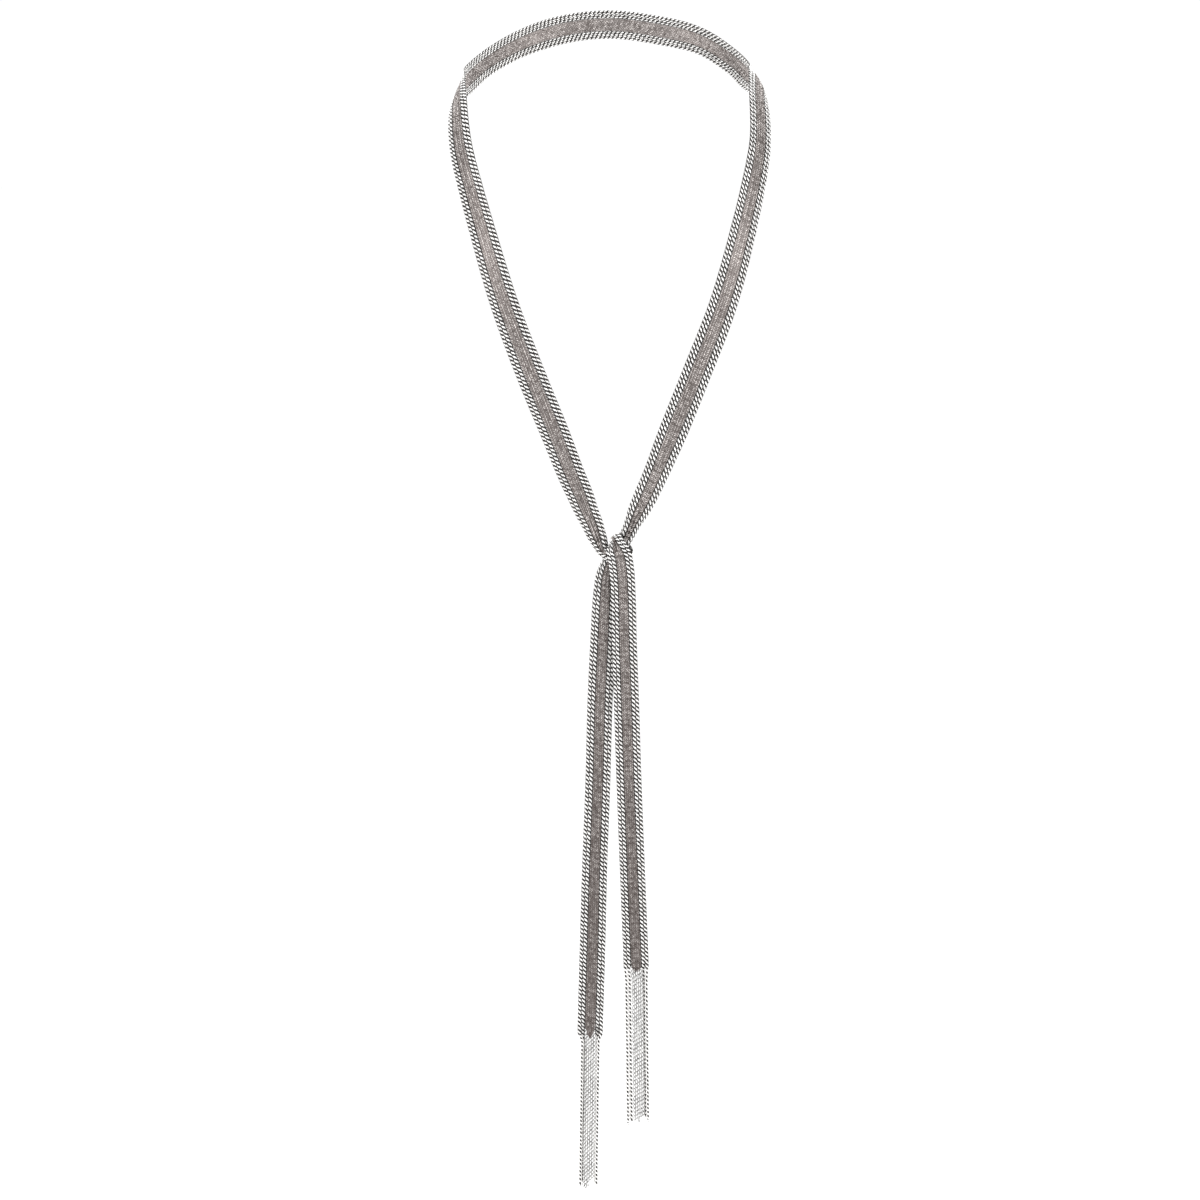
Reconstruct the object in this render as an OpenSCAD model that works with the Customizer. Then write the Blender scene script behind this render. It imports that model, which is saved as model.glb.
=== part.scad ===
/* [Band] */
// Thickness of the woven centre
mesh_t = 1.1; // [0.8:0.1:1.2]
/* [Chains] */
// Width of one coarse edge chain
chain_w = 1.7; // [1.4:0.1:1.8]
// Thickness of one coarse edge chain
chain_t = 1.2; // [0.9:0.1:1.3]
// Clear gap between neighbouring pieces
chain_gap = 0.15; // [0.1:0.05:0.25]
/* [Fringe] */
// Height of the longer fringe's lowest end, measured from the nape
long_tip_z = -597.5; // [-620:0.5:-570]
// Height of the shorter fringe's lowest end, measured from the nape
short_tip_z = -560.5; // [-580:0.5:-530]
// Width of one fine chain of the fringe
fine_w = 1; // [0.8:0.05:1]
// Thickness of one fine chain of the fringe
fine_t = 0.7; // [0.5:0.1:0.8]

/* [Hidden] */

// Route of the band, from the end of the shorter tail's weave up to the knot, round it, up one
// side, round the nape and down the other side to the end of the longer tail's weave.
// Columns: middle x, y, z; the way across to the neck edge x, y, z; weave width; curl in degrees
route = [
    [14, -116, -468, 1, 0, 0, 5.4, 0],
    [12, -116.5, -420, 1, 0, 0, 5.2, 10],
    [10, -117, -369, 1, 0, 0, 5.0, 15],
    [8.7, -118, -331, 1, 0, 0, 5.0, 20],
    [7.5, -118.5, -298, 1, 0, 0, 4.8, 20],
    [6.9, -119.5, -274, 1, 0, 0, 4.6, 20],
    [6.0, -120.6, -261, 1, 0, 0.1, 4.6, 25],
    [5.0, -121.2, -255, 0.93, 0, 0.37, 4.4, 25],
    [3.5, -121, -251.2, 0.8, 0, 0.6, 3.6, 25],
    [2.6, -118.4, -248.3, 0.57, 0, 0.82, 1.2, 40],
    [1.9, -114, -247.7, 0.54, 0, 0.84, 0.8, 70],
    [1.8, -109, -249.1, 0.54, 0, 0.84, 1.4, 80],
    [5.5, -106, -253.4, 0.54, 0, 0.84, 2.4, 100],
    [9.3, -108.6, -257.6, 0.54, 0, 0.84, 2.4, 80],
    [10.0, -112, -259.1, 0.54, 0, 0.84, 2.4, 70],
    [8.6, -115.4, -258.9, 0.54, 0, 0.84, 2.4, 80],
    [3.9, -117.8, -256.5, 0.54, 0, 0.84, 2, 115],
    [-2.5, -117.2, -254, 0.5, 0, 0.86, 1.2, 160],
    [-6, -116, -246.8, 0.9, 0, 0.43, 3.2, 125],
    [-8.4, -114.5, -240.6, 0.9, 0, 0.4, 4, 100],
    [-11.1, -113.3, -234.8, 0.9, 0, 0.4, 4.6, 75],
    [-13.3, -112.3, -229, 0.9, 0, 0.4, 5.2, 50],
    [-18.5, -110.5, -217, 0.9, 0, 0.4, 5.8, 30],
    [-26, -108, -198, 0.93, 0, 0.36, 6.4, 15],
    [-38, -104, -169, 0.93, 0, 0.36, 6.6, 10],
    [-51, -98, -135, 0.94, -0.12, 0.33, 6.3, 10],
    [-62, -89, -100, 0.88, -0.32, 0.36, 6.2, 15],
    [-68, -81, -80, 0.82, -0.4, 0.4, 6.2, 20],
    [-73.5, -72.1, -59.8, 0.77, -0.5, 0.4, 6.6, 34],
    [-75.5, -61.9, -42.6, 0.68, -0.51, 0.53, 6.6, 36],
    [-75.5, -47.9, -32.6, 0.43, -0.41, 0.81, 6.6, 36],
    [-72.7, -33, -29, -0.11, -0.34, 0.93, 6.6, 25],
    [-62.9, -20, -19.9, -0.19, -0.48, 0.86, 6.6, 13],
    [-45.2, -9.9, -9.8, -0.23, -0.39, 0.89, 6.6, 0],
    [-24, -3, -2.7, -0.1, 0, 1, 6.6, 0],
    [0, 0, 0, 0, 0, 1, 6.6, 0],
    [24, -3, -2.7, 0.1, 0, 1, 6.6, 0],
    [47.9, -9.2, -8.7, 0.2, -0.44, 0.88, 6.6, 16],
    [63.7, -18.7, -18.6, 0.2, -0.44, 0.88, 6.6, 44],
    [72.3, -34.5, -27.1, 0.06, -0.18, 0.98, 6.6, 70],
    [74.6, -46.3, -27.6, -0.54, -0.29, 0.79, 6.6, 53],
    [74.5, -59.5, -36.7, -0.7, -0.5, 0.51, 6.6, 23],
    [74.3, -72.1, -59.1, -0.75, -0.56, 0.35, 6.6, 11],
    [70.5, -81, -80, -0.82, -0.4, 0.4, 6.2, 20],
    [65.5, -89, -100, -0.88, -0.32, 0.36, 6.2, 15],
    [55.5, -98, -135, -0.94, -0.12, 0.33, 6.3, 10],
    [42.2, -104, -169, -0.93, 0, 0.36, 6.6, 10],
    [30.5, -108, -198, -0.93, 0, 0.36, 6.4, 20],
    [22.5, -110, -217.5, -0.9, 0, 0.4, 5, 60],
    [17.3, -111.5, -229, -0.9, 0, 0.42, 4.6, 80],
    [14.4, -112.3, -235, -0.9, 0, 0.42, 4, 110],
    [11.7, -113, -240.8, -0.87, 0, 0.47, 3, 150],
    [8.6, -113.7, -247.4, -0.84, 0, 0.54, 2.4, 170],
    [5.6, -114, -252.2, -0.84, 0, 0.54, 2.4, 180],
    [2.9, -114, -256.7, -0.84, 0, 0.54, 2.4, 180],
    [0.2, -114, -261.2, -0.87, 0, 0.47, 3, 160],
    [-1.3, -114, -267.3, -0.95, 0, 0.3, 4, 100],
    [-1.8, -114.3, -275, -1, 0, 0.1, 4.6, 60],
    [-3, -114.5, -299, -1, 0, 0, 5, 30],
    [-4.5, -114.8, -332, -1, 0, 0, 5, 20],
    [-5.5, -115, -370, -1, 0, 0, 5, 15],
    [-7.3, -115, -421, -1, 0, 0, 5.2, 10],
    [-8.3, -115, -460, -1, 0, 0, 5.6, 0],
    [-9.5, -115, -502, -1, 0, 0, 5.6, 0]
];

// Hanging chain ends below the weave, coarse ones first: neck edge outer and inner, drop edge
// inner and outer, then the fine ones from the neck edge to the drop edge.
// Columns: place across, towards the neck edge; place forwards; shorter than the longest
long_hang = [
    [4.1, 0.4, 0.8],
    [3.1, -1.1, 2],
    [-3.9, -1.1, 3],
    [-4.4, 0.4, 2],
    [2.3, 0, 1.5],
    [1.15, 0, 0.5],
    [0, 0, 0],
    [-1.15, 0, 3],
    [-2.3, 0, 5]
];
short_hang = [
    [5.25, 0.4, 2],
    [4.1, -1.1, 3],
    [-3.35, 0, 0.5],
    [-5.2, 0, 0.3],
    [2.75, 0, 1.5],
    [1.65, 0, 2],
    [0.55, 0, 0],
    [-0.55, 0, 1.5],
    [-1.65, 0, 2]
];
coarse_count = 4;
fine_count = 5;

// How the weave narrows past its last full row. Columns: share of the tip's length, share of width
long_tip = [[0.35, 0.82], [0.7, 0.48], [1, 0.12]];
short_tip = [[0.4, 0.92], [0.75, 0.7], [1, 0.35]];
long_tip_l = 9.5;
short_tip_l = 6;

// Sideways lean of each fringe from the end of its weave to its tip
long_lean = -1.4;
short_lean = 1.4;

// The band gets a new ring wherever it has bent or twisted by this many degrees
turn_step = 16;
tube_sides = 8;
mesh_columns = 4;
last = len(route) - 1;

// Drop below the weave's end over which the chains settle to their hanging places
settle = 12;
settle_rings = 4;
hang_rings = 3;

// Head of a fringe: clear of the weave, its height and how far its chains run into each other
head_gap = 0.3;
head_l = 1.5;
head_overlap = 0.06;
fine_rings = 3;

function unit(v) = v / norm(v);
function angle(a, b) = acos(min(1, max(-1, unit(a) * unit(b))));
function place(row) = [row[0], row[1], row[2]];
function across_way(row) = [row[3], row[4], row[5]];
function stretch(i) = norm(place(route[i + 1]) - place(route[i]));

// Change of a whole row per millimetre of route at station i
function rate(i) = (route[i + 1] - route[i]) / stretch(i);
function slope(i) = i == 0 ? rate(0)
    : i == last ? rate(last - 1)
    : (rate(i - 1) * stretch(i) + rate(i) * stretch(i - 1)) / (stretch(i - 1) + stretch(i));

// A row of the table at share t of the way from station i to the next
function row_at(i, t) = (2 * t ^ 3 - 3 * t ^ 2 + 1) * route[i]
    + (t ^ 3 - 2 * t ^ 2 + t) * stretch(i) * slope(i)
    + (3 * t ^ 2 - 2 * t ^ 3) * route[i + 1]
    + (t ^ 3 - t ^ 2) * stretch(i) * slope(i + 1);
function row_change(i, t) = (6 * t ^ 2 - 6 * t) * route[i]
    + (3 * t ^ 2 - 4 * t + 1) * stretch(i) * slope(i)
    + (6 * t - 6 * t ^ 2) * route[i + 1]
    + (3 * t ^ 2 - 2 * t) * stretch(i) * slope(i + 1);

// A frame holds the middle, the way along, the way across, the way out of the face,
// the weave's width and the curl; the route is moved back so that the inner face at the nape
// lies at the origin
function frame(i, t) = let (
        row = row_at(i, t),
        along = unit(place(row_change(i, t))),
        w = across_way(row),
        across = unit(w - (w * along) * along)
    ) [place(row) + [0, chain_t / 2, 0], along, across, cross(across, along), row[6], row[7]];

function turn(i) = let (a = frame(i, 0), b = frame(i, 1)) max(angle(a[1], b[1]), angle(a[2], b[2]));
function steps(i) = max(1, ceil(turn(i) / turn_step));
frames = [for (i = [0:last - 1]) for (k = [0:steps(i) - 1]) frame(i, k / steps(i)), frame(last - 1, 1)];
end_frame = len(frames) - 1;

// Whole width of the band over its curl, chains included
chain_step = chain_w + chain_gap;
function band_w(f) = f[4] + 4 * chain_step;
function curl_r(f) = band_w(f) / max(0.5, f[5]) * 180 / PI;

// The point that lies off along the curled width and up out of the face
function on_band(f, off, up) = let (r = curl_r(f), a = off / r * 180 / PI)
    f[0] + f[2] * (r + up) * sin(a) + f[3] * ((r + up) * cos(a) - r);

// Places of the chains across the band: neck edge outer, inner, drop edge inner, outer
function chain_off(f, j) = let (side = j < 2 ? 1 : -1, row = (j == 0 || j == 3) ? 1 : 0)
    side * (f[4] / 2 + chain_gap + chain_w / 2 + row * chain_step);

// Triangles across an end ring of n points that starts at point s, from one half to the other
function cap(n, s) = [for (k = [0:n / 2 - 2]) let (m = n - 2 - k)
    each [[s + k, s + k + 1, s + m], [s + k, s + m, s + m + 1]]];
function flipped(faces) = [for (f = faces) [f[2], f[1], f[0]]];

// Closed skin through rings of equal length
module sweep(rings) {
    n = len(rings[0]);
    rows = len(rings);
    points = [for (r = rings) for (p = r) p];
    sides = [for (r = [0:rows - 2]) for (k = [0:n - 1]) let (m = (k + 1) % n)
        each [[r * n + k, (r + 1) * n + m, r * n + m], [r * n + k, (r + 1) * n + k, (r + 1) * n + m]]];
    polyhedron(points, concat(cap(n, 0), sides, flipped(cap(n, (rows - 1) * n))), convexity = 10);
}

// Section of the weave at a frame, with its width scaled and moved along by d
function mesh_ring(f, share, d) = let (half = f[4] / 2 * share, shift = f[1] * d)
    [for (k = [0:mesh_columns]) shift + on_band(f, half * (1 - 2 * k / mesh_columns), -mesh_t / 2),
     for (k = [mesh_columns:-1:0]) shift + on_band(f, half * (1 - 2 * k / mesh_columns), mesh_t / 2)];

module mesh_band() {
    color([0.56, 0.54, 0.53]) sweep([
        for (k = [len(short_tip) - 1:-1:0])
            mesh_ring(frames[0], short_tip[k][1], -short_tip[k][0] * short_tip_l),
        for (f = frames) mesh_ring(f, 1, 0),
        for (k = [0:len(long_tip) - 1])
            mesh_ring(frames[end_frame], long_tip[k][1], long_tip[k][0] * long_tip_l)
    ]);
}

// Section of a chain of width w and thickness t round a place on the band
function chain_ring(f, off, up, w, t) = [for (k = [0:tube_sides - 1])
    let (a = (k + 0.5) * 360 / tube_sides, r = 0.5 / cos(180 / tube_sides))
    on_band(f, off + w * r * cos(a), up - t * r * sin(a))];

// An upright frame below the weave's end, dropped by d, leaning sideways down its full length;
// way is 1 where the route runs up and -1 where it runs down
function hang_frame(f, way, d, lean, full) = [
    f[0] + [lean * d / full, 0, -d], [0, 0, way], [way, 0, 0], [0, -1, 0], f[4], 0];
function ease(t) = let (s = min(1, max(0, t))) s * s * (3 - 2 * s);

// Drops at which a hanging chain has a ring, from just below the weave's end to its own tip
function drops(length) = [
    for (k = [1:settle_rings]) settle * k / settle_rings,
    for (k = [1:hang_rings]) settle + (length - settle) * k / hang_rings];

// Rings of a coarse chain below the weave's end, top to bottom
function coarse_rings(f, way, j, hang, tip_z, lean) = let (
        full = f[0][2] - tip_z,
        from = chain_off(f, j)
    ) [for (d = drops(full - hang[2])) let (forth = ease(2 * d / settle), aside = ease(2 * d / settle - 1))
        chain_ring(hang_frame(f, way, d, lean, full),
            from + (hang[0] - from) * aside, hang[1] * forth, chain_w, chain_t)];

module edge_chain(j) {
    low = coarse_rings(frames[0], 1, j, short_hang[j], short_tip_z, short_lean);
    far = coarse_rings(frames[end_frame], -1, j, long_hang[j], long_tip_z, long_lean);
    color([0.78, 0.78, 0.77]) sweep([
        for (k = [len(low) - 1:-1:0]) low[k],
        for (f = frames) chain_ring(f, chain_off(f, j), 0, chain_w, chain_t),
        for (r = far) r
    ]);
}

// How far the weave reaches below its last full row at a place across
function tip_reach(f, tip, length, off) = lookup(abs(off) / (f[4] / 2),
    [[1, 0], for (row = tip) [row[1], row[0] * length]]);

// First ring of a fine chain, cut along the weave's lower edge
function cut_ring(f, way, tip, length, off, w) = [for (k = [0:tube_sides - 1]) let (
        a = (k + 0.5) * 360 / tube_sides,
        r = 0.5 / cos(180 / tube_sides),
        o = off + w * r * cos(a),
        d = tip_reach(f, tip, length, max(0, abs(o) - head_gap)) + head_gap
    ) on_band(hang_frame(f, way, d, 0, 1), o, -fine_t * r * sin(a))];

// Fine chains of one fringe, joined side by side in a head under the weave and loose below it
module fringe(f, way, hang, tip, tip_length, tip_z, lean) {
    full = f[0][2] - tip_z;
    pitch = (f[4] - head_gap) / fine_count;
    color([0.66, 0.64, 0.62]) for (k = [0:fine_count - 1]) {
        row = hang[coarse_count + k];
        from = pitch * ((fine_count - 1) / 2 - k);
        head_end = tip_length + head_gap + head_l;
        length = full - row[2];
        loose = head_end + head_l;
        rings = [
            cut_ring(f, way, tip, tip_length, from, pitch + head_overlap),
            chain_ring(hang_frame(f, way, head_end, lean, full), from, 0, pitch + head_overlap, fine_t),
            for (n = [0:fine_rings]) let (d = loose + (length - loose) * n / fine_rings)
                chain_ring(hang_frame(f, way, d, lean, full), row[0], 0, fine_w, fine_t)
        ];
        sweep(way > 0 ? [for (n = [len(rings) - 1:-1:0]) rings[n]] : rings);
    }
}

module neck_edge_outer_chain() { edge_chain(0); }
module neck_edge_inner_chain() { edge_chain(1); }
module drop_edge_inner_chain() { edge_chain(2); }
module drop_edge_outer_chain() { edge_chain(3); }
module long_tail_fringe() {
    fringe(frames[end_frame], -1, long_hang, long_tip, long_tip_l, long_tip_z, long_lean);
}
module short_tail_fringe() {
    fringe(frames[0], 1, short_hang, short_tip, short_tip_l, short_tip_z, short_lean);
}

mesh_band();
neck_edge_outer_chain();
neck_edge_inner_chain();
drop_edge_inner_chain();
drop_edge_outer_chain();
long_tail_fringe();
short_tail_fringe();
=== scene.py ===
import math
import random
import bpy
import numpy as np
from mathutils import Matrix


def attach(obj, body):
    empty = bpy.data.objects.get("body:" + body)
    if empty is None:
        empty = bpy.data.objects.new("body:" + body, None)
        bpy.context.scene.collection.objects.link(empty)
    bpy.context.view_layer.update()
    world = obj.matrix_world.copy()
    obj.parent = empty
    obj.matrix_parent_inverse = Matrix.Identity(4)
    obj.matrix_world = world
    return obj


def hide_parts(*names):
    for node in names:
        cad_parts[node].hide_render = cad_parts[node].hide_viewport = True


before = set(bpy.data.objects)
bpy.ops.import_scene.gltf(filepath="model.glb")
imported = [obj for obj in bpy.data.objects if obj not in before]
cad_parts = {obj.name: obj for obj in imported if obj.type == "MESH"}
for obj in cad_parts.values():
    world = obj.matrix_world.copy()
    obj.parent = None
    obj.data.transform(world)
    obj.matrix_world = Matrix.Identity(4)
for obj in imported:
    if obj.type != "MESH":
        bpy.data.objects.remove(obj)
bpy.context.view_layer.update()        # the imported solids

print("frame loaded:", sorted(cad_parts))

# The ribbon as a whole, in metres
ribbon = {
    "chainWidth": 0.0017,        # the solids' chain width, which the curl counts in
    "chainGap": 0.00015,
    "seat": 0.0006,              # the route lies this far behind the inner face at the nape
    "leastCurl": 0.5,            # degrees, so that a flat stretch has a radius too
    "every": 0.02,               # a sample for each such share of a row
    "faceStep": 0.001,           # how far out a second point is taken, to see which way a face looks
}

# Route of the band, from the end of the short tail's weave up to the knot, round it, up one side,
# round the nape and down the other side to the end of the long tail's weave.
# Columns: middle x, y, z; the way across to the neck edge x, y, z; weave width; curl in degrees
routeRows = [
    (0.014, -0.116, -0.468, 1, 0, 0, 0.0054, 0),
    (0.012, -0.1165, -0.42, 1, 0, 0, 0.0052, 10),
    (0.01, -0.117, -0.369, 1, 0, 0, 0.005, 15),
    (0.0087, -0.118, -0.331, 1, 0, 0, 0.005, 20),
    (0.0075, -0.1185, -0.298, 1, 0, 0, 0.0048, 20),
    (0.0069, -0.1195, -0.274, 1, 0, 0, 0.0046, 20),
    (0.006, -0.1206, -0.261, 1, 0, 0.1, 0.0046, 25),
    (0.005, -0.1212, -0.255, 0.93, 0, 0.37, 0.0044, 25),
    (0.0035, -0.121, -0.2512, 0.8, 0, 0.6, 0.0036, 25),
    (0.0026, -0.1184, -0.2483, 0.57, 0, 0.82, 0.0012, 40),
    (0.0019, -0.114, -0.2477, 0.54, 0, 0.84, 0.0008, 70),
    (0.0018, -0.109, -0.2491, 0.54, 0, 0.84, 0.0014, 80),
    (0.0055, -0.106, -0.2534, 0.54, 0, 0.84, 0.0024, 100),
    (0.0093, -0.1086, -0.2576, 0.54, 0, 0.84, 0.0024, 80),
    (0.01, -0.112, -0.2591, 0.54, 0, 0.84, 0.0024, 70),
    (0.0086, -0.1154, -0.2589, 0.54, 0, 0.84, 0.0024, 80),
    (0.0039, -0.1178, -0.2565, 0.54, 0, 0.84, 0.002, 115),
    (-0.0025, -0.1172, -0.254, 0.5, 0, 0.86, 0.0012, 160),
    (-0.006, -0.116, -0.2468, 0.9, 0, 0.43, 0.0032, 125),
    (-0.0084, -0.1145, -0.2406, 0.9, 0, 0.4, 0.004, 100),
    (-0.0111, -0.1133, -0.2348, 0.9, 0, 0.4, 0.0046, 75),
    (-0.0133, -0.1123, -0.229, 0.9, 0, 0.4, 0.0052, 50),
    (-0.0185, -0.1105, -0.217, 0.9, 0, 0.4, 0.0058, 30),
    (-0.026, -0.108, -0.198, 0.93, 0, 0.36, 0.0064, 15),
    (-0.038, -0.104, -0.169, 0.93, 0, 0.36, 0.0066, 10),
    (-0.051, -0.098, -0.135, 0.94, -0.12, 0.33, 0.0063, 10),
    (-0.062, -0.089, -0.1, 0.88, -0.32, 0.36, 0.0062, 15),
    (-0.068, -0.081, -0.08, 0.82, -0.4, 0.4, 0.0062, 20),
    (-0.0735, -0.0721, -0.0598, 0.77, -0.5, 0.4, 0.0066, 34),
    (-0.0755, -0.0619, -0.0426, 0.68, -0.51, 0.53, 0.0066, 36),
    (-0.0755, -0.0479, -0.0326, 0.43, -0.41, 0.81, 0.0066, 36),
    (-0.0727, -0.033, -0.029, -0.11, -0.34, 0.93, 0.0066, 25),
    (-0.0629, -0.02, -0.0199, -0.19, -0.48, 0.86, 0.0066, 13),
    (-0.0452, -0.0099, -0.0098, -0.23, -0.39, 0.89, 0.0066, 0),
    (-0.024, -0.003, -0.0027, -0.1, 0, 1, 0.0066, 0),
    (0, 0, 0, 0, 0, 1, 0.0066, 0),
    (0.024, -0.003, -0.0027, 0.1, 0, 1, 0.0066, 0),
    (0.0479, -0.0092, -0.0087, 0.2, -0.44, 0.88, 0.0066, 16),
    (0.0637, -0.0187, -0.0186, 0.2, -0.44, 0.88, 0.0066, 44),
    (0.0723, -0.0345, -0.0271, 0.06, -0.18, 0.98, 0.0066, 70),
    (0.0746, -0.0463, -0.0276, -0.54, -0.29, 0.79, 0.0066, 53),
    (0.0745, -0.0595, -0.0367, -0.7, -0.5, 0.51, 0.0066, 23),
    (0.0743, -0.0721, -0.0591, -0.75, -0.56, 0.35, 0.0066, 11),
    (0.0705, -0.081, -0.08, -0.82, -0.4, 0.4, 0.0062, 20),
    (0.0655, -0.089, -0.1, -0.88, -0.32, 0.36, 0.0062, 15),
    (0.0555, -0.098, -0.135, -0.94, -0.12, 0.33, 0.0063, 10),
    (0.0422, -0.104, -0.169, -0.93, 0, 0.36, 0.0066, 10),
    (0.0305, -0.108, -0.198, -0.93, 0, 0.36, 0.0064, 20),
    (0.0225, -0.11, -0.2175, -0.9, 0, 0.4, 0.005, 60),
    (0.0173, -0.1115, -0.229, -0.9, 0, 0.42, 0.0046, 80),
    (0.0144, -0.1123, -0.235, -0.9, 0, 0.42, 0.004, 110),
    (0.0117, -0.113, -0.2408, -0.87, 0, 0.47, 0.003, 150),
    (0.0086, -0.1137, -0.2474, -0.84, 0, 0.54, 0.0024, 170),
    (0.0056, -0.114, -0.2522, -0.84, 0, 0.54, 0.0024, 180),
    (0.0029, -0.114, -0.2567, -0.84, 0, 0.54, 0.0024, 180),
    (0.0002, -0.114, -0.2612, -0.87, 0, 0.47, 0.003, 160),
    (-0.0013, -0.114, -0.2673, -0.95, 0, 0.3, 0.004, 100),
    (-0.0018, -0.1143, -0.275, -1, 0, 0.1, 0.0046, 60),
    (-0.003, -0.1145, -0.299, -1, 0, 0, 0.005, 30),
    (-0.0045, -0.1148, -0.332, -1, 0, 0, 0.005, 20),
    (-0.0055, -0.115, -0.37, -1, 0, 0, 0.005, 15),
    (-0.0073, -0.115, -0.421, -1, 0, 0, 0.0052, 10),
    (-0.0083, -0.115, -0.46, -1, 0, 0, 0.0056, 0),
    (-0.0095, -0.115, -0.502, -1, 0, 0, 0.0056, 0),
]

# Hanging ends below the weave, across the band from the neck edge to the drop edge.
# Columns: place across, towards the neck edge; place forwards; shorter than the longest
longHang = {
    "neckOuter": (0.0041, 0.0004, 0.0008),
    "neckInner": (0.0031, -0.0011, 0.002),
    "dropInner": (-0.0039, -0.0011, 0.003),
    "dropOuter": (-0.0044, 0.0004, 0.002),
    "fine": [
        (0.0023, 0, 0.0015), (0.00115, 0, 0.0005), (0, 0, 0),
        (-0.00115, 0, 0.003), (-0.0023, 0, 0.005),
    ],
}
shortHang = {
    "neckOuter": (0.00525, 0.0004, 0.002),
    "neckInner": (0.0041, -0.0011, 0.003),
    "dropInner": (-0.00335, 0, 0.0005),
    "dropOuter": (-0.0052, 0.0004, 0.0003),
    "fine": [
        (0.00275, 0, 0.0015), (0.00165, 0, 0.002), (0.00055, 0, 0),
        (-0.00055, 0, 0.0015), (-0.00165, 0, 0.002),
    ],
}


def curveRows(u):        # smooth rows at stations u, and how they change there
    rows = np.array(routeRows, float)
    step = np.linalg.norm(np.diff(rows[:, :3], axis=0), axis=1)
    rate = np.diff(rows, axis=0) / step[:, None]
    inner = (rate[:-1] * step[1:, None] + rate[1:] * step[:-1, None]) / (step[1:] + step[:-1])[:, None]
    slope = np.vstack([rate[:1], inner, rate[-1:]])
    i = np.minimum(u.astype(int), len(rows) - 2)
    t = (u - i)[:, None]
    h = step[i][:, None]
    a, b, ma, mb = rows[i], rows[i + 1], slope[i] * h, slope[i + 1] * h
    value = (2*t**3 - 3*t**2 + 1)*a + (t**3 - 2*t**2 + t)*ma + (3*t**2 - 2*t**3)*b + (t**3 - t**2)*mb
    change = (6*t**2 - 6*t)*a + (3*t**2 - 4*t + 1)*ma + (6*t - 6*t**2)*b + (3*t**2 - 2*t)*mb
    return value, change


def unit(v):
    return v / np.linalg.norm(v, axis=1, keepdims=True)


def runLength(line):        # how far along its line each point lies
    return np.concatenate([[0], np.cumsum(np.linalg.norm(np.diff(line, axis=0), axis=1))])


def bandFrames(u):        # middle, directions along, across and out, weave width and curl at u
    value, change = curveRows(u)
    along = unit(change[:, :3])
    way = value[:, 3:6]
    across = unit(way - (way * along).sum(1, keepdims=True) * along)
    middle = value[:, :3] + np.array([0, ribbon["seat"], 0])
    return {"middle": middle, "along": along, "across": across, "out": np.cross(across, along),
            "weave": value[:, 6], "curl": np.radians(np.maximum(value[:, 7], ribbon["leastCurl"]))}


def onBand(f, off, up):        # points at off along the curled width and up out of the face
    whole = f["weave"] + len(sideOf) * (ribbon["chainWidth"] + ribbon["chainGap"])
    r = whole / f["curl"]
    a = (off / r)[:, None]
    r = r[:, None]
    up = np.reshape(up, (-1, 1))
    return f["middle"] + f["across"] * (r + up) * np.sin(a) + f["out"] * ((r + up) * np.cos(a) - r)


# Coarse chains: side of the weave, plus towards the neck edge, and how many lie between it and the weave
sideOf = {"neckOuter": (1, 1), "neckInner": (1, 0), "dropInner": (-1, 0), "dropOuter": (-1, 1)}

# The whole band, sampled closely from the short tail's weave end to the long tail's
stations = np.arange(0, len(routeRows) - 1 + 1e-9, ribbon["every"])
band = bandFrames(stations)

# The loose ends of each tail: the lowest height, how far they lean, which end of the band they hang
# from, and which way along X the neck edge lies there
hang = {
    "short": {"table": shortHang, "tip": -0.5605, "lean": 0.0014, "end": 0, "way": 1},
    "long": {"table": longHang, "tip": -0.5975, "lean": -0.0014, "end": -1, "way": -1},
    "settle": 0.012,        # the drop in which a chain moves over to its own place
    "step": 0.001,
}


def ease(t):
    s = np.clip(t, 0, 1)
    return s * s * (3 - 2 * s)


def hangLine(tail, start, place):        # from the weave's end down to the chain's own tip
    middle = band["middle"][tail["end"]]
    full = middle[2] - tail["tip"]
    d = np.arange(hang["step"], full - place[2], hang["step"])
    forth, aside = ease(2 * d / hang["settle"]), ease(2 * d / hang["settle"] - 1)
    x = middle[0] + tail["lean"] * d / full + tail["way"] * (start + (place[0] - start) * aside)
    return np.stack([x, middle[1] - place[1] * forth, middle[2] - d], 1)


def chainLine(off, up, places):        # a chain's whole line and the way its face looks along it
    points = onBand(band, off, up)
    lifted = onBand(band, off, up + ribbon["faceStep"])
    face = unit(lifted - points)
    front = np.array([[0.0, -1.0, 0.0]])
    low = hangLine(hang["short"], off[0], places[0])
    far = hangLine(hang["long"], off[-1], places[1])
    line = np.vstack([low[::-1], points, far])
    faces = np.vstack([front.repeat(len(low), 0), face, front.repeat(len(far), 0)])
    return line, faces, len(low), len(far)


def stepAlong(line, faces, pitch, start):        # places at equal pitch, each with its directions
    s = runLength(line)
    at = np.arange(start, s[-1] - pitch / 2, pitch)

    def place(t):
        return np.stack([np.interp(t, s, line[:, k]) for k in range(3)], 1)
    along = unit(place(at + pitch / 2) - place(at - pitch / 2))
    face = np.stack([np.interp(at, s, faces[:, k]) for k in range(3)], 1)
    out = unit(face - (face * along).sum(1, keepdims=True) * along)
    return {"at": at, "middle": place(at), "along": along, "across": np.cross(out, along), "out": out}


def deselectAll():
    for o in bpy.context.selected_objects:
        o.select_set(False)


def applyModifier(piece, name):
    bpy.context.view_layer.objects.active = piece
    bpy.ops.object.modifier_apply(modifier=name)


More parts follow.
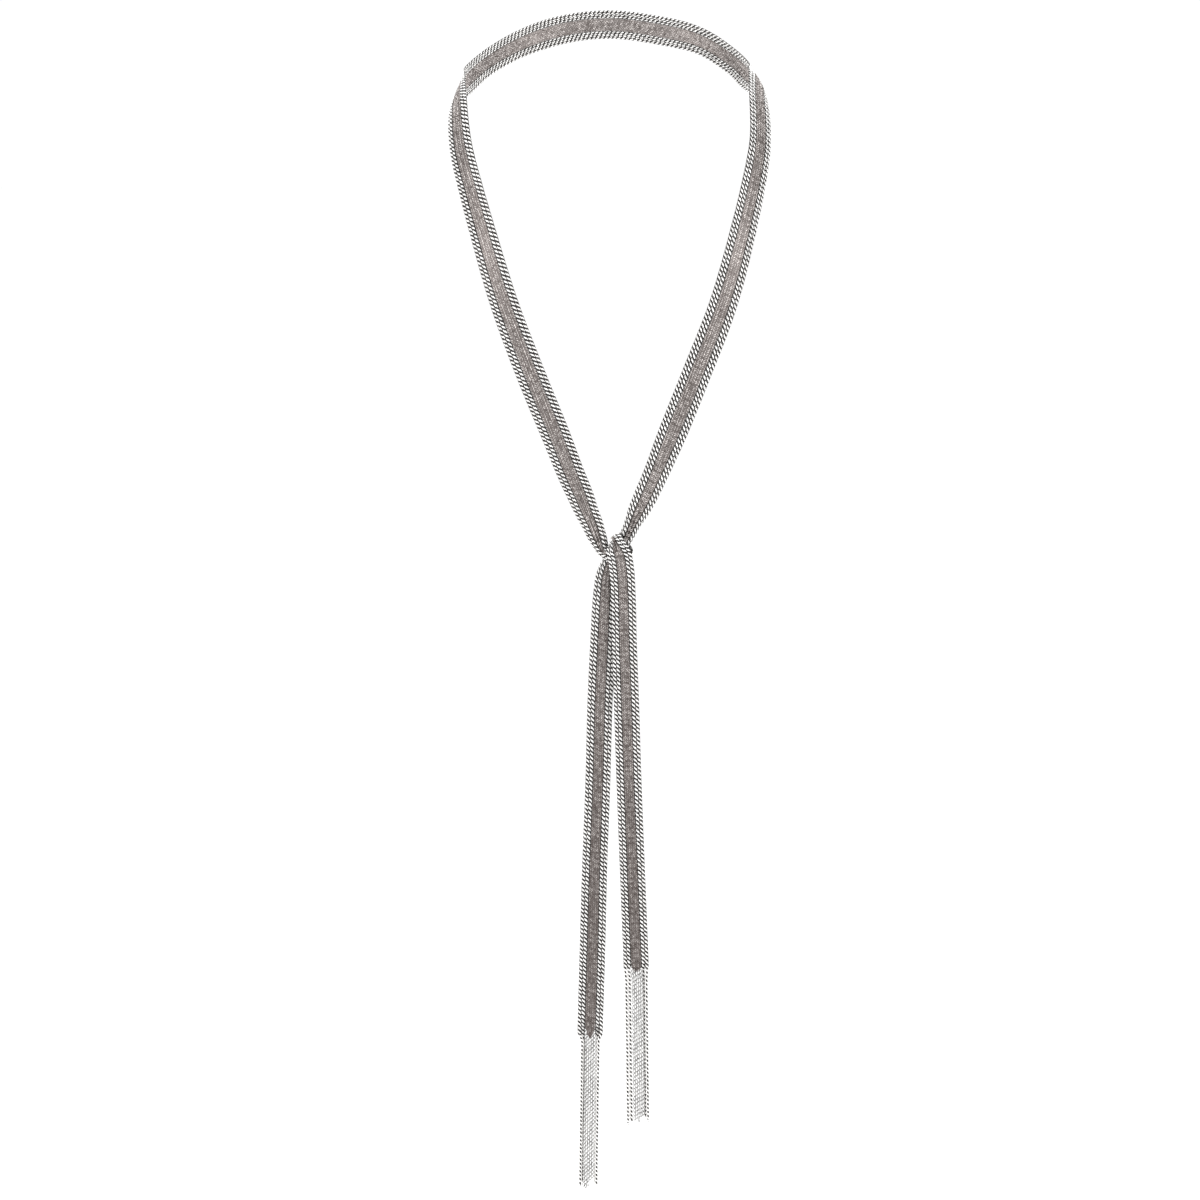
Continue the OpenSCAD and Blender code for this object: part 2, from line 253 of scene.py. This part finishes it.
def modelLink(name, size):        # a curb link: an oval ring of round wire, twisted so that it lies flat
    deselectAll()
    wire = size["wire"]
    high, tight = (size["width"] - wire) / 2, size["endRadius"]
    reach = (size["length"] - wire) / 2 - tight
    wide = (reach ** 2 + high ** 2 - tight ** 2) / (2 * (high - tight))        # radius of the long sides
    turn = math.asin(reach / (wide - tight))
    bpy.ops.mesh.primitive_circle_add(
        vertices=size["wireSides"], radius=wire / 2, fill_type="NOTHING", rotation=(0, math.pi / 2, turn),
        location=(reach + tight * math.sin(turn), -tight * math.cos(turn), 0))
    link = bpy.context.object
    link.name = name
    bpy.ops.object.transform_apply(location=True, rotation=True, scale=True)
    bpy.ops.object.mode_set(mode="EDIT")
    bpy.ops.mesh.select_all(action="SELECT")
    for end in (1, -1):        # round one end, then along the side that follows it
        bpy.ops.mesh.spin(steps=size["endSides"], angle=2 * turn - math.pi,
                          center=(end * reach, 0, 0), axis=(0, 0, 1))
        bpy.ops.mesh.spin(steps=size["longSides"], angle=-2 * turn,
                          center=(0, end * (high - wide), 0), axis=(0, 0, 1))
    bpy.ops.mesh.select_all(action="SELECT")
    weld = wire / 20        # closes the ring where its last profile meets the first
    bpy.ops.mesh.remove_doubles(threshold=weld)
    bpy.ops.mesh.normals_make_consistent(inside=False)
    bpy.ops.object.mode_set(mode="OBJECT")
    twist = link.modifiers.new("twist", "SIMPLE_DEFORM")
    twist.deform_method = "TWIST"
    twist.deform_axis = "X"
    twist.angle = math.radians(size["twist"])
    applyModifier(link, "twist")
    link.rotation_euler = (0, 0, math.radians(size["slant"]))
    bpy.ops.object.transform_apply(location=True, rotation=True, scale=True)
    return link


coarseLink = {
    "width": 0.002,
    "wire": 0.00066,         # how thick the wire is
    "length": 0.0035,        # the whole link, which reaches through its neighbours
    "endRadius": 0.00046,
    "pitch": 0.00222,        # from one link to the next
    "twist": -112,           # degrees from end to end
    "slant": 6,              # degrees across the chain
    "wireSides": 6,
    "endSides": 4,
    "longSides": 3,
    "stagger": 0.5,          # how far the outer chains are shifted, as a share of the pitch
    "checker": 0,            # how much of a link's tone alternates, the rest is random
    "tilt": 0.04,            # how far a link leans at random, radians
    "shadeFade": (-0.28, 0.22),        # how far up the wire its painted shade, partly tarnish, ends and its bright silver begins
}
fineLink = {
    "width": 0.0013,
    "wire": 0.0004,
    "length": 0.0019,
    "endRadius": 0.00029,
    "pitch": 0.00136,
    "twist": 105,
    "slant": -18,
    "wireSides": 5,
    "endSides": 3,
    "longSides": 2,
    "stagger": 0.5,          # between one chain and the next, as a share of the pitch
    "start": 0.4,
    "checker": 0.3,
    "tilt": 0.1,
    "shadeFade": (0.15, 0.6),
    "chains": 5,
}
strandLink = {        # the fringe's own chains
    "width": 0.0014,
    "wire": 0.0004,
    "length": 0.0031,
    "endRadius": 0.0003,
    "pitch": 0.0022,
    "twist": -105,
    "slant": -4,
    "wireSides": 5,
    "endSides": 3,
    "longSides": 2,
    "stagger": -0.3,
    "start": 2,
    "checker": 0,
    "tilt": 0.08,
    "shadeFade": (0.12, 0.62),
}
toneCurve = 1.5        # above 1, most links stay bright
crowding = {        # where the weave is drawn together its chains ride up over each other
    "open": 0.0011,
    "range": 0.0006,
    "lift": 0.00035,
}
weaveTip = {        # share of the tip's length, share of the weave's width
    "long": [(0, 1), (0.45, 0.92), (0.78, 0.56), (1, 0.12)],
    "short": [(0, 1), (0.5, 0.97), (0.8, 0.85), (1, 0.5)],
    "longLength": 0.0095,
    "shortLength": 0.006,
}
seeds = random.Random(11)
fineSpacing = band["weave"] / fineLink["chains"]


def markShadeAndTarnish(link, size):        # 1 on the wire's sides and underside, painted shade and partly tarnish; 0 on its crest, left bright silver
    count = len(link.data.vertices)
    co, normal = np.empty(count * 3), np.empty(count * 3)
    link.data.vertices.foreach_get("co", co)
    link.data.vertices.foreach_get("normal", normal)
    high, up = co[2::3] / co[2::3].max(), normal[2::3]
    low, top = size["shadeFade"]
    depth = link.data.attributes.new("depth", "FLOAT", "POINT")
    depth.data.foreach_set("value", 1 - ease((high * up - low) / (top - low)))


def layLinks(link, size, name, places):        # a straight row of links, each then carried to its place
    count = len(places["at"])
    deselectAll()
    piece = link.copy()
    piece.data = link.data.copy()
    piece.name = name
    bpy.context.scene.collection.objects.link(piece)
    row = piece.modifiers.new("row", "ARRAY")
    row.count = count
    row.use_relative_offset = False
    row.use_constant_offset = True
    row.constant_offset_displace = (size["pitch"], 0, 0)
    applyModifier(piece, "row")
    total = len(piece.data.vertices)
    co = np.empty(total * 3)
    piece.data.vertices.foreach_get("co", co)
    co = co.reshape(count, -1, 3)
    co[:, :, 0] -= (np.arange(count) * size["pitch"])[:, None]
    lean = np.array([[seeds.gauss(0, size["tilt"]) for k in range(3)] for n in range(count)])
    co += np.cross(lean[:, None, :], co)
    spread = (places["middle"][:, None, :] + co[:, :, :1] * places["along"][:, None, :]
              + co[:, :, 1:2] * places["across"][:, None, :] + co[:, :, 2:] * places["out"][:, None, :])
    piece.data.vertices.foreach_set("co", spread.reshape(-1))
    tone = piece.data.attributes.new("tone", "FLOAT", "POINT")
    shade = [size["checker"] * (n % 2) + (1 - size["checker"]) * seeds.random() ** toneCurve
             for n in range(count)]
    tone.data.foreach_set("value", np.repeat(shade, total // count))
    piece.data.update()
    deselectAll()
    piece.select_set(True)
    bpy.context.view_layer.objects.active = piece
    bpy.ops.object.shade_smooth()
    return piece


def onLine(name, model, line, faces, start, first=None, last=None):        # a chain between two lengths
    size = linkSizes[model]
    places = stepAlong(line, faces, size["pitch"], start)
    keep = np.ones(len(places["at"]), bool)
    if first is not None:
        keep &= places["at"] >= first
    if last is not None:
        keep &= places["at"] < last
    return layLinks(linkModels[model], size, name, {k: v[keep] for k, v in places.items()})


def sideOffset(name):        # how far a coarse chain lies from the middle, all along the band
    side, between = sideOf[name]
    near = ribbon["chainGap"] + ribbon["chainWidth"] / 2
    step = ribbon["chainWidth"] + ribbon["chainGap"]
    return side * (band["weave"] / 2 + near + between * step)


def fineOffset(k):
    return fineSpacing * ((fineLink["chains"] - 1) / 2 - k)


def fineLift(k):
    crowd = ease((crowding["open"] - fineSpacing) / crowding["range"])
    return crowding["lift"] * crowd * (1 if k % 2 else -1)


def tipReach(tip, length, off, half):        # how far a fine chain is woven beyond the row's end
    shares = [s for d, s in reversed(weaveTip[tip])]
    depths = [d * length for d, s in reversed(weaveTip[tip])]
    return float(np.interp(abs(off) / half, shares, depths))


def otherHand(size):
    return dict(size, twist=-size["twist"], slant=-size["slant"])


linkSizes = {
    "edgeLink": coarseLink,
    "smallLink": fineLink,
    "smallLinkBack": otherHand(fineLink),
    "hangingLink": strandLink,
}
linkModels = {name: modelLink(name, size) for name, size in linkSizes.items()}
for name, model in linkModels.items():
    markShadeAndTarnish(model, linkSizes[name])
print("links modelled:", {name: len(model.data.polygons) for name, model in linkModels.items()})

chainShadeStrip = {        # a dark strip along each chain's middle, painted shade that shows in the gaps between the links
    "width": 0.0018,
    "innerWidth": 0.0022,        # beside the weave
    "hangingWidth": 0.0007,
    "tip": 0.8,                  # how far down the weave's tip it stays wide
    "thickness": 0.00053,
    "step": 0.0011,
    "start": 0.0012,
}


def stripGrid(name, rows, strips):        # a plain grid, its points and the row that each is in
    deselectAll()
    bpy.ops.mesh.primitive_grid_add(x_subdivisions=rows - 1, y_subdivisions=strips, size=1)
    piece = bpy.context.object
    piece.name = name
    co = np.empty(len(piece.data.vertices) * 3)
    piece.data.vertices.foreach_get("co", co)
    co = co.reshape(-1, 3)
    return piece, co, np.rint((co[:, 0] + 0.5) * (rows - 1)).astype(int)


def layWall(piece, points, thickness):        # the grid's points carried to their places, then a wall
    piece.data.vertices.foreach_set("co", points.reshape(-1))
    piece.data.update()
    wall = piece.modifiers.new("wall", "SOLIDIFY")
    wall.thickness = thickness
    wall.offset = 0
    applyModifier(piece, "wall")


def modelChainShadeStrip(name, line, faces, low, far):
    places = stepAlong(line, faces, chainShadeStrip["step"], chainShadeStrip["start"])
    core, co, row = stripGrid(name, len(places["at"]), 1)
    s = runLength(line)
    onWeave = ((places["at"] > s[low] - weaveTip["shortLength"] * chainShadeStrip["tip"])
               & (places["at"] < s[-far] + weaveTip["longLength"] * chainShadeStrip["tip"]))
    woven = chainShadeStrip["innerWidth" if "Inner" in name else "width"]
    wide = np.where(onWeave, woven, chainShadeStrip["hangingWidth"])
    laid = places["middle"][row] + places["across"][row] * co[:, 1:2] * wide[row][:, None]
    layWall(core, laid, chainShadeStrip["thickness"])
    return core


pieces = {}
for name in sideOf:
    off = sideOffset(name)
    line, faces, low, far = chainLine(off, np.zeros(len(stations)), (shortHang[name], longHang[name]))
    start = coarseLink["pitch"] * (coarseLink["stagger"] if "Outer" in name else 1)
    pieces[name + "Chain"] = onLine(name + "Chain", "edgeLink", line, faces, start)
    # a dark strip of painted shade along the chain, seen through its gaps
    pieces[name + "Core"] = modelChainShadeStrip(name + "Core", line, faces, low, far)
print("coarse chains laid:", [len(p.data.polygons) for p in pieces.values()])

fringes = {"short": [], "long": []}
for k in range(fineLink["chains"]):
    off = fineOffset(k)
    line, faces, low, far = chainLine(off, fineLift(k), (shortHang["fine"][k], longHang["fine"][k]))
    s = runLength(line)
    first = s[low] - tipReach("short", weaveTip["shortLength"], off[0], band["weave"][0] / 2)
    last = s[-far - 1] + tipReach("long", weaveTip["longLength"], off[-1], band["weave"][-1] / 2)
    start = fineLink["pitch"] * (fineLink["start"] + fineLink["stagger"] * (k % 2))
    name = "fineChain%d" % (k + 1)
    pieces[name] = onLine(name, "smallLink" if k % 2 else "smallLinkBack", line, faces, start, first, last)
    start = strandLink["pitch"] * (strandLink["start"] + strandLink["stagger"] * k)
    fringes["short"].append(onLine("shortStrand%d" % k, "hangingLink", line, faces, start, None, first))
    fringes["long"].append(onLine("longStrand%d" % k, "hangingLink", line, faces, start, last, None))
for side in ("short", "long"):
    deselectAll()
    for strand in fringes[side]:
        strand.select_set(True)
    bpy.context.view_layer.objects.active = fringes[side][0]
    bpy.ops.object.join()
    joined = bpy.context.object
    joined.name = side + "TailFringe"
    pieces[joined.name] = joined
print("fine chains laid")
for model in linkModels.values():
    bpy.data.objects.remove(model, do_unlink=True)

weaveCore = {
    "thickness": 0.00022,
    "share": 0.46,        # half width as a share of the weave's
    "every": 3,           # one row for this many stations
    "strips": 4,          # faces across
}


def modelWeaveShadeSheet():        # the wires that run from chain to chain inside the weave, as one sheet darkened with painted shade
    at = stations[::weaveCore["every"]]
    f = bandFrames(at)
    rows = [(0, -d * weaveTip["shortLength"], s) for d, s in reversed(weaveTip["short"][1:])]
    rows += [(n, 0, 1) for n in range(len(at))]
    rows += [(len(at) - 1, d * weaveTip["longLength"], s) for d, s in weaveTip["long"][1:]]
    index = np.array([r[0] for r in rows])
    shift = np.array([r[1] for r in rows])
    share = np.array([r[2] for r in rows])
    picked = {k: f[k][index] for k in f}
    core, co, row = stripGrid("weaveCore", len(rows), weaveCore["strips"])
    each = {k: picked[k][row] for k in picked}
    off = co[:, 1] * 2 * weaveCore["share"] * each["weave"] * share[row]
    laid = onBand(each, off, np.zeros(len(off))) + each["along"] * shift[row][:, None]
    layWall(core, laid, weaveCore["thickness"])
    return core


pieces["weaveCore"] = modelWeaveShadeSheet()
print("weave core modelled")

wearAndShadeInputs = {        # what each finish sets, and what the group starts with
    "Bright": (0.8, 0.8, 0.8, 1),
    "Dark": (0.1, 0.1, 0.1, 1),
    "Tarnish": 0.6,        # how dark the painted shade, partly tarnish, on the wire's sides and underside is
    "Spread": 0.2,         # how much the tone changes from link to link
    "Smooth": 0.2,
    "Rough": 0.5,
    "Age": 0.1,            # how much darker the tails are
}
wearPattern = {
    "cloudScale": 220,
    "cloudDetail": 3,
    "cloudFrom": (0.45, 0.75),
    "cloudTo": 0.08,
    "scratchScale": 2600,
    "scratchDetail": 2,
    "tailDarkHeights": (-0.17, -0.45),        # it begins at the first and is full at the second
    "bumpDepth": 0.00005,
}


def mathNode(tree, operation, *sources):
    node = tree.nodes.new("ShaderNodeMath")
    node.operation = operation
    for k, source in enumerate(sources):
        tree.links.new(source, node.inputs[k])
    return node


def rangeNode(tree, source, ends=(0, 1)):
    node = tree.nodes.new("ShaderNodeMapRange")
    node.inputs["From Min"].default_value, node.inputs["From Max"].default_value = ends
    tree.links.new(source, node.inputs["Value"])
    return node


def noiseNode(tree, place, scale, detail):
    node = tree.nodes.new("ShaderNodeTexNoise")
    node.inputs["Scale"].default_value = scale
    node.inputs["Detail"].default_value = detail
    tree.links.new(place, node.inputs["Vector"])
    return node


def silverGroup():        # painted shade, partly tarnish, on the wires' sides and undersides, tone from link to link and fine scratches
    group = bpy.data.node_groups.new("silverWear", "ShaderNodeTree")
    face = group.interface
    for name, value in wearAndShadeInputs.items():
        kind = "NodeSocketFloat" if isinstance(value, float) else "NodeSocketColor"
        face.new_socket(name, in_out="INPUT", socket_type=kind).default_value = value
    face.new_socket("Colour", in_out="OUTPUT", socket_type="NodeSocketColor")
    face.new_socket("Roughness", in_out="OUTPUT", socket_type="NodeSocketFloat")
    face.new_socket("Height", in_out="OUTPUT", socket_type="NodeSocketFloat")
    n, l = group.nodes, group.links
    inside, outside = n.new("NodeGroupInput"), n.new("NodeGroupOutput")
    depth, tone = n.new("ShaderNodeAttribute"), n.new("ShaderNodeAttribute")
    depth.attribute_name, tone.attribute_name = "depth", "tone"
    place = n.new("ShaderNodeTexCoord").outputs["Object"]
    cloud = noiseNode(group, place, wearPattern["cloudScale"], wearPattern["cloudDetail"])
    scratch = noiseNode(group, place, wearPattern["scratchScale"], wearPattern["scratchDetail"])

    # the link's mask times its strength: painted shade, partly tarnish
    dark = mathNode(group, "MULTIPLY", depth.outputs["Fac"], inside.outputs["Tarnish"])
    cloudy = mathNode(group, "MULTIPLY_ADD", tone.outputs["Fac"], inside.outputs["Spread"], dark.outputs[0])
    patch = rangeNode(group, cloud.outputs["Fac"], wearPattern["cloudFrom"])
    patch.inputs["To Max"].default_value = wearPattern["cloudTo"]
    split = n.new("ShaderNodeSeparateXYZ")
    l.new(place, split.inputs["Vector"])
    lower = rangeNode(group, split.outputs["Z"], wearPattern["tailDarkHeights"])        # darker towards the tails
    l.new(inside.outputs["Age"], lower.inputs["To Max"])
    patchesAndTails = mathNode(group, "ADD", patch.outputs["Result"], lower.outputs["Result"])
    wornAndShaded = mathNode(group, "ADD", cloudy.outputs[0], patchesAndTails.outputs[0])
    wornAndShaded.use_clamp = True

    mix = n.new("ShaderNodeMix")
    mix.data_type = "RGBA"
    l.new(wornAndShaded.outputs[0], mix.inputs["Factor"])
    l.new(inside.outputs["Bright"], mix.inputs["A"])
    l.new(inside.outputs["Dark"], mix.inputs["B"])
    rough = rangeNode(group, wornAndShaded.outputs[0])
    l.new(inside.outputs["Smooth"], rough.inputs["To Min"])
    l.new(inside.outputs["Rough"], rough.inputs["To Max"])
    l.new(mix.outputs["Result"], outside.inputs["Colour"])
    l.new(rough.outputs["Result"], outside.inputs["Roughness"])
    l.new(scratch.outputs["Fac"], outside.inputs["Height"])
    return group


wearAndShade = silverGroup()
finishes = {
    "coarseSilver": {
        "Bright": (0.95, 0.94, 0.925, 1), "Dark": (0.035, 0.032, 0.03, 1), "Tarnish": 1.0, "Spread": 0.12,
        "Smooth": 0.49, "Rough": 0.58, "Age": 0.04, "bump": 0.15,
    },
    "fineSilver": {
        "Bright": (0.99, 0.935, 0.905, 1), "Dark": (0.066, 0.053, 0.048, 1), "Tarnish": 0.68, "Spread": 0.75,
        "Smooth": 0.4, "Rough": 0.5, "Age": 0.37, "bump": 0.2,
    },
    "fringeSilver": {
        "Bright": (0.85, 0.84, 0.825, 1), "Dark": (0.05, 0.045, 0.04, 1), "Tarnish": 0.9, "Spread": 0.4,
        "Smooth": 0.2, "Rough": 0.5, "Age": 0.0, "bump": 0.15,
    },
    # colours of the strip of painted shade in the gaps between the links
    "gapDark": {
        "Bright": (0.05, 0.047, 0.045, 1), "Dark": (0.02, 0.019, 0.018, 1), "Tarnish": 0.5, "Spread": 0.3,
        "Smooth": 0.5, "Rough": 0.6, "Age": 0.0, "bump": 0.2,
    },
    # colours of the weave's inner sheet, darkened with painted shade
    "innerWire": {
        "Bright": (0.18, 0.158, 0.15, 1), "Dark": (0.085, 0.074, 0.068, 1), "Tarnish": 0.5, "Spread": 0.3,
        "Smooth": 0.45, "Rough": 0.6, "Age": 0.2, "bump": 0.4,
    },
}


def silver(name):
    look = finishes[name]
    material = bpy.data.materials.new(name)
    material.use_nodes = True
    n, l = material.node_tree.nodes, material.node_tree.links
    shader = n["Principled BSDF"]
    shader.inputs["Metallic"].default_value = 1
    group = n.new("ShaderNodeGroup")
    group.node_tree = wearAndShade
    for key in wearAndShadeInputs:
        group.inputs[key].default_value = look[key]
    bump = n.new("ShaderNodeBump")
    bump.inputs["Strength"].default_value = look["bump"]
    bump.inputs["Distance"].default_value = wearPattern["bumpDepth"]
    l.new(group.outputs["Colour"], shader.inputs["Base Color"])
    l.new(group.outputs["Roughness"], shader.inputs["Roughness"])
    l.new(group.outputs["Height"], bump.inputs["Height"])
    l.new(bump.outputs["Normal"], shader.inputs["Normal"])
    return material


materials = {name: silver(name) for name in finishes}
print("finishes made:", sorted(materials))

# Each piece's finish, the record's slot and the node that it stands for
standsFor = {
    "neckOuterChain": ("coarseSilver", "coarse_chain", "neck_edge_outer_chain"),
    "neckInnerChain": ("coarseSilver", "coarse_chain", "neck_edge_inner_chain"),
    "dropInnerChain": ("coarseSilver", "coarse_chain", "drop_edge_inner_chain"),
    "dropOuterChain": ("coarseSilver", "coarse_chain", "drop_edge_outer_chain"),
    "weaveCore": ("innerWire", "fine_mesh", "mesh_band"),
    "longTailFringe": ("fringeSilver", "fine_chain", "long_tail_fringe"),
    "shortTailFringe": ("fringeSilver", "fine_chain", "short_tail_fringe"),
}
for name in sideOf:
    standsFor[name + "Core"] = ("gapDark",) + standsFor[name + "Chain"][1:]
for k in range(fineLink["chains"]):
    standsFor["fineChain%d" % (k + 1)] = ("fineSilver", "fine_mesh", "mesh_band")
for name, piece in pieces.items():
    finish, slotName, node = standsFor[name]
    piece.data.materials.clear()
    piece.data.materials.append(materials[finish])
    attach(piece, "root")
    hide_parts(node)
print("pieces:", {name: len(p.data.polygons) for name, p in pieces.items()})

studio = {
    "floorHeight": -1.3,
    "floorSize": 120.0,
    "floor": (0.985, 0.985, 0.985, 1),
    "floorRoughness": 0.9,
    "air": (1.03, 1.03, 1.03, 1),
}


def paleMaterial():
    material = bpy.data.materials.new("paleFloor")
    material.use_nodes = True
    shader = material.node_tree.nodes["Principled BSDF"]
    shader.inputs["Base Color"].default_value = studio["floor"]
    shader.inputs["Roughness"].default_value = studio["floorRoughness"]
    return material


deselectAll()
bpy.ops.mesh.primitive_plane_add(size=studio["floorSize"], location=(0, 0, studio["floorHeight"]))
floor = bpy.context.object
floor.name = "paleFloor"
bpy.ops.object.transform_apply(location=True, rotation=True, scale=True)
floor.data.materials.append(paleMaterial())

world = bpy.data.worlds.new("studioAir")
bpy.context.scene.world = world
world.use_nodes = True
world.node_tree.nodes["Background"].inputs["Color"].default_value = studio["air"]

softboxes = {
    "distance": 1.6,
    "middle": -0.35,
    "width": 0.35,
    "height": 1.9,
    "power": 10,
    "turns": (45, -45, 135, -135),
    "topWidth": 0.8,
    "topHeight": 1.3,
    "topPower": 12,
}
for k, turn in enumerate(softboxes["turns"]):        # tall lamps round the piece, each facing it
    a = math.radians(turn)
    deselectAll()
    x, y = math.sin(a) * softboxes["distance"], -math.cos(a) * softboxes["distance"]
    bpy.ops.object.light_add(type="AREA", rotation=(math.radians(90), 0, a),
                             location=(x, y, softboxes["middle"]))
    lamp = bpy.context.object
    lamp.name = "softbox%d" % (k + 1)
    lamp.data.shape = "RECTANGLE"
    lamp.data.size, lamp.data.size_y = softboxes["width"], softboxes["height"]
    lamp.data.energy = softboxes["power"]
    lamp.visible_camera = False
deselectAll()
bpy.ops.object.light_add(type="AREA", location=(0, 0, softboxes["topHeight"]))
topLamp = bpy.context.object
topLamp.name = "topSoftbox"
topLamp.data.size = softboxes["topWidth"]
topLamp.data.energy = softboxes["topPower"]
topLamp.visible_camera = False

photoCamera = {
    "place": (-0.0045, -1.1744, -0.034),
    "down": 13,
    "lens": 66,
    "sensor": 36,
    "near": 0.05,
    "far": 30,
}
tipped = math.radians(90 - photoCamera["down"])
deselectAll()
bpy.ops.object.camera_add(location=photoCamera["place"], rotation=(tipped, 0, 0))
camera = bpy.context.object
camera.data.lens = photoCamera["lens"]
camera.data.sensor_width = photoCamera["sensor"]
camera.data.clip_start = photoCamera["near"]
camera.data.clip_end = photoCamera["far"]
bpy.context.scene.camera = camera
bpy.context.scene.view_settings.view_transform = "Standard"
print("camera and lights placed")
